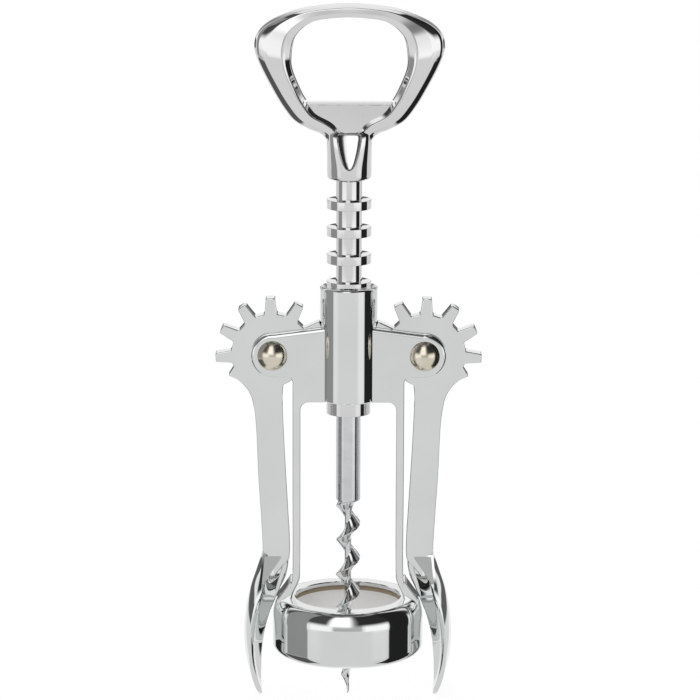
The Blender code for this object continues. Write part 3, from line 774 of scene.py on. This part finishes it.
# Right half of the loop from the crown to the collar: outer x, z, inner x, z in millimetres,
# and the section, from 0 the crown's over 1 the limb's to 2 the rim's beside the recess
LOOP = [(0, 152.0, 0, 148.7, 0), (9.5, 151.2, 7.1, 148.1, 0), (15.2, 149.7, 10.2, 146.9, 0.15),
        (20.2, 147.3, 12.4, 144.9, 0.6), (22.9, 144.3, 13.6, 142.8, 0.95),
        (23.4, 140.6, 14.2, 139.2, 1.0), (22.1, 136.6, 14.0, 135.8, 1.1),
        (19.0, 130.6, 12.2, 131.2, 1.4), (16.4, 126.3, 10.4, 127.9, 1.8),
        (13.6, 122.9, 8.2, 125.0, 2), (10.0, 120.9, 4.6, 123.0, 2), (7.2, 119.8, 3.2, 121.7, 2),
        (5.8, 118.4, 2.6, 120.3, 2), (5.3, 116.8, 3.4, 117.8, 2)]

# Height, half width, half depth and squareness up the collar
COLLAR = [(108.6, 4.8, 4.8, 2.0), (108.7, 5.1, 5.1, 2.0), (108.95, 5.33, 5.33, 2.0),
          (109.5, 5.48, 5.48, 2.0), (112.0, 5.5, 5.5, 2.1), (115.0, 5.5, 5.4, 2.5),
          (118.0, 5.5, 5.2, 3.0), (120.0, 5.4, 4.8, 3.2), (121.3, 4.6, 4.0, 3.0)]

# Height, half width and floor of the tail scooped out of the collar's face
TAIL = [(111.2, 0.4, 5.6), (111.9, 1.1, 5.0), (113.1, 1.75, 4.5), (115.6, 2.5, 3.7),
        (118.4, 3.0, 2.9), (119.7, 3.1, 2.45), (120.5, 3.3, 1.35)]

# Half of the recess below the lip, from the lip to its lowest point
RECESS = [(11.4, 127.7), (10.8, 125.9), (8.6, 123.9), (4.9, 121.9), (2.6, 120.6), (0, 120.2)]


def section_corners(kind):
    """Corners between the two named sections that a number lies between."""
    sections = [CROWN_SECTION, LIMB_SECTION, RIM_SECTION, RIM_SECTION]
    low = min(max(int(kind), 0), 2)
    share = kind - low
    return [[a + (b - a) * share for a, b in zip(*pair)] for pair in zip(sections[low], sections[low + 1])]


def loop_section(outer_x, outer_z, inner_x, inner_z, kind):
    """Rounded section between the loop's outer and inner edge."""
    middle = Vector((outer_x + inner_x, 0, outer_z + inner_z)) / 2
    across = Vector((inner_x - outer_x, 0, inner_z - outer_z)) / 2
    half = across.length
    corners = [(u * half, y * MM, radius * MM) for u, y, radius in section_corners(kind)]
    corners += [(u, -y, radius) for u, y, radius in corners[-2:0:-1]]
    return [middle + across * (u / half) + Vector((0, y, 0)) for u, y in rounded(corners, 7)]


def loop_rows():
    right = millimetres(LOOP, 4)
    left = [[-row[0], row[1], -row[2], *row[3:]] for row in reversed(right[1:])]
    return catmull(left + right, 8)


def superellipse(z, half_x, half_y, squareness):
    points = []
    steps = 96
    for i in range(steps):
        angle = math.tau * i / steps
        c, s = math.cos(angle), math.sin(angle)
        power = 2 / squareness
        points.append((half_x * signed_power(c, power), half_y * signed_power(s, power), z))
    return points


def tail_section(z, half_width, floor, side):
    """Open-fronted trough with rounded bottom corners."""
    front = 9 * MM
    points = [(half_width, side * front, z)]
    steps = 14
    for i in range(steps + 1):
        angle = math.pi * i / steps
        c, s = math.cos(angle), math.sin(angle)
        x = half_width * signed_power(c, 0.6)
        points.append((x, side * (floor + 1.2 * MM * (1 - abs(s) ** 0.6)), z))
    points.append((-half_width, side * front, z))
    return points


def recess_outline(widen):
    half = [(x + widen * min(x / (2 * MM), 1), z) for x, z in catmull(millimetres(RECESS), 6)]
    return half + [(-x, z) for x, z in reversed(half[:-1])]


def make_handle(material):
    """Loop, web with its lip, and collar with the scooped tail, cast in one."""
    collar_rows = millimetres(COLLAR, 3)
    collar = loft("collar", [superellipse(*row) for row in catmull(collar_rows, 4)])
    for side in (-1, 1):
        low, high = sorted((side * (WEB_HALF_THICKNESS - 0.05 * MM), side * 9 * MM))
        combine(collar, prism("recess", recess_outline(0), low, high), "DIFFERENCE")
        tail = loft("tail", [tail_section(*row, side) for row in catmull(millimetres(TAIL), 5)])
        combine(collar, tail, "DIFFERENCE")
    handle = loft("loop_handle", [loop_section(*row) for row in loop_rows()])
    web = prism("web", recess_outline(0.9 * MM), -WEB_HALF_THICKNESS, WEB_HALF_THICKNESS)
    combine(handle, web, "UNION")
    lip_depth = WEB_HALF_THICKNESS + LIP_PROUD
    lip = prism("lip", [(-LIP_HALF, LIP_Z - 0.7 * MM), (LIP_HALF, LIP_Z - 0.7 * MM),
                        (LIP_HALF, LIP_Z + 0.05 * MM), (-LIP_HALF, LIP_Z + 0.05 * MM)],
                -lip_depth, lip_depth)
    round_edges(lip, 0.22 * MM, 3, 60)
    combine(handle, lip, "UNION")
    combine(handle, collar, "UNION")
    for side in (-1, 1):
        notch = bar_y("notch", side * LIP_HALF, LIP_Z, NOTCH_RADIUS, -6 * MM, 6 * MM, 24)
        combine(handle, notch, "DIFFERENCE")
    hole = bar_z("hole", ROD_HOLE_RADIUS, COLLAR_BOTTOM - 1 * MM, ROD_TOP + 0.2 * MM)
    combine(handle, hole, "DIFFERENCE")
    shade(handle)
    return dress(handle, material, "spindle", "handle")


# ---------------------------------------------------------------- studio

CAMERA_PITCH_DEG = 11.67
CAMERA_DISTANCE = 0.911
CAMERA_LENS_MM = 188.23
SENSOR_WIDTH_MM = 36.0
CAMERA_TARGET_Z = 65.46 * MM
CAMERA_ROLL_DEG = 0.2
FLOOR_Z = -23.6 * MM


def make_camera():
    camera = bpy.data.objects.new("camera", bpy.data.cameras.new("camera"))
    bpy.context.scene.collection.objects.link(camera)
    camera.data.sensor_width = SENSOR_WIDTH_MM
    camera.data.lens = CAMERA_LENS_MM
    camera.data.clip_start = 0.05
    camera.data.clip_end = 50
    pitch = math.radians(CAMERA_PITCH_DEG)
    back = Vector((0, -math.cos(pitch), math.sin(pitch)))
    target = Vector((0.35 * MM, 0, CAMERA_TARGET_Z))
    camera.location = target + back * CAMERA_DISTANCE
    turn = (-back).to_track_quat("-Z", "Y").to_matrix().to_4x4()
    roll = Matrix.Rotation(math.radians(CAMERA_ROLL_DEG), 4, "Z")
    camera.matrix_world = Matrix.Translation(camera.location) @ turn @ roll
    bpy.context.scene.camera = camera


class Sky(Nodes):
    """World light by direction: a white room with grey and black panels for the chrome to mirror."""

    def __init__(self):
        world = bpy.data.worlds.new("studio")
        world.use_nodes = True
        bpy.context.scene.world = world
        self.tree = world.node_tree
        self.background = self.tree.nodes["Background"]
        direction = self.tree.nodes.new("ShaderNodeTexCoord").outputs["Generated"]
        split = self.tree.nodes.new("ShaderNodeSeparateXYZ")
        self.link(direction, split.inputs["Vector"])
        x, y, z = split.outputs
        forward = self.math("MULTIPLY", y, -1.0)
        self.azimuth = self.math("DIVIDE", self.math("ARCTAN2", x, forward), math.radians(1))
        self.elevation = self.math("DIVIDE", self.math("ARCSINE", z, 0.0), math.radians(1))

    def step(self, source, start, end):
        """0 below start, 1 above end, smooth between."""
        node = self.tree.nodes.new("ShaderNodeMapRange")
        node.interpolation_type = "SMOOTHSTEP"
        node.inputs["From Min"].default_value = min(start, end)
        node.inputs["From Max"].default_value = max(start, end)
        node.inputs["To Min"].default_value = 0.0 if start < end else 1.0
        node.inputs["To Max"].default_value = 1.0 if start < end else 0.0
        self.link(source, node.inputs["Value"])
        return node.outputs["Result"]

    def band(self, source, low, high, soft):
        return self.math("MULTIPLY", self.step(source, low - soft, low + soft),
                         self.step(source, high + soft, high - soft))

    def panel(self, level, azimuths, elevations, value, soft=3.0):
        """Blend the light level towards a value inside a window of directions."""
        mask = self.math("MULTIPLY", self.band(self.azimuth, *azimuths, soft),
                         self.band(self.elevation, *elevations, soft))
        change = self.math("MULTIPLY", mask, self.math("SUBTRACT", value, level))
        return self.math("ADD", level, change)

    def finish(self, level):
        camera_ray = self.tree.nodes.new("ShaderNodeLightPath").outputs["Is Camera Ray"]
        to_white = self.math("MULTIPLY", camera_ray, self.math("SUBTRACT", 1.0, level))
        shown = self.math("ADD", level, to_white)
        self.link(shown, self.background.inputs["Strength"])
        self.background.inputs["Color"].default_value = (1, 1, 1, 1)


def make_sky():
    """White tent: a grey card on the left, a black one on the right, and dark corners overhead."""
    sky = Sky()
    level = sky.math("ADD", 0.95, 0.0)
    level = sky.panel(level, (-150, 150), (-95, -9), 0.76, 1.5)       # pale table in front
    level = sky.panel(level, (-62, -44), (-14, -8), 0.92, 7)          # and its lighter sides
    level = sky.panel(level, (38, 63), (-14, -8), 1.02, 7)
    level = sky.panel(level, (-58, -25), (-9, 30), 1.12, 2)           # bright side strips
    level = sky.panel(level, (27, 63), (-9, 30), 1.15, 2)
    level = sky.panel(level, (-22, 22), (-8, 70), 0.50, 2.5)          # the tent's front flap
    level = sky.panel(level, (-118, -12), (12, 72), 0.07, 8)          # dark room above the front
    level = sky.panel(level, (12, 118), (12, 72), 0.03, 8)
    level = sky.panel(level, (-30, 6), (8, 62), 1.3, 6)               # window high in the front
    level = sky.panel(level, (-180, 180), (72, 95), 0.10, 3)
    level = sky.panel(level, (-106, -64), (-20, 60), 0.30, 1.5)       # grey card
    level = sky.panel(level, (66, 106), (-20, 60), 0.018, 1.5)        # black card
    level = sky.panel(level, (-122, -66), (-60, -22), 0.10, 2)        # their feet on the table
    level = sky.panel(level, (66, 122), (-60, -18), 0.018, 2)
    level = sky.panel(level, (120, 181), (-8.5, 3), 0.12, 1.2)        # dark line of the room behind
    level = sky.panel(level, (-181, -120), (-8.5, 3), 0.12, 1.2)
    level = sky.panel(level, (135, 165), (12, 60), 0.30, 6)           # cards behind, fainter
    level = sky.panel(level, (-165, -135), (12, 60), 0.30, 6)
    sky.finish(level)


def make_floor():
    bm = bmesh.new()
    bmesh.ops.create_grid(bm, x_segments=2, y_segments=2, size=6.0)
    floor = add_object("floor", bm)
    floor.location.z = FLOOR_Z
    material = bpy.data.materials.new("floor_white")
    material.use_nodes = True
    shader = material.node_tree.nodes["Principled BSDF"]
    shader.inputs["Base Color"].default_value = (0.2, 0.2, 0.2, 1)
    shader.inputs["Roughness"].default_value = 0.9
    shader.inputs["Emission Color"].default_value = (1, 1, 1, 1)
    shader.inputs["Emission Strength"].default_value = 0.885
    floor.data.materials.append(material)
    floor.visible_glossy = False


def make_softbox():
    """Large soft light overhead, which the camera does not see."""
    light = bpy.data.lights.new("softbox", "AREA")
    light.shape = "RECTANGLE"
    light.size = 1.2
    light.size_y = 1.0
    light.energy = 5.0
    softbox = bpy.data.objects.new("softbox", light)
    softbox.location = (-0.2, -0.3, 1.6)
    softbox.rotation_euler = (math.radians(-10), math.radians(-7), 0)
    softbox.visible_camera = False
    softbox.visible_glossy = False
    bpy.context.scene.collection.objects.link(softbox)


def main():
    make_camera()
    make_sky()
    make_floor()
    make_softbox()
    bpy.context.scene.view_settings.view_transform = "Standard"
    cast_chrome = chrome("cast_chrome", (0.80, 0.815, 0.81), 0.035, 0.25, dull_bell=True)
    lever_chrome = chrome("lever_plate", (0.80, 0.82, 0.815), 0.04, 0.3)
    handle_chrome = chrome("handle_plate", (0.81, 0.815, 0.81), 0.035, 0.2)
    turned_chrome = chrome("turned_chrome", (0.80, 0.805, 0.80), 0.04, 0.15, (0.15, 0.15, 4))
    nickel = satin_nickel("rivet_satin_nickel")
    make_frame(cast_chrome)
    make_seat_ring(nylon("tan_nylon"))
    make_handle(handle_chrome)
    make_rack(turned_chrome)
    make_worm(worm_steel("worm_plated_steel"))
    for side in (-1, 1):
        make_lever(side, lever_chrome)
        make_rivet(side, nickel)


main()
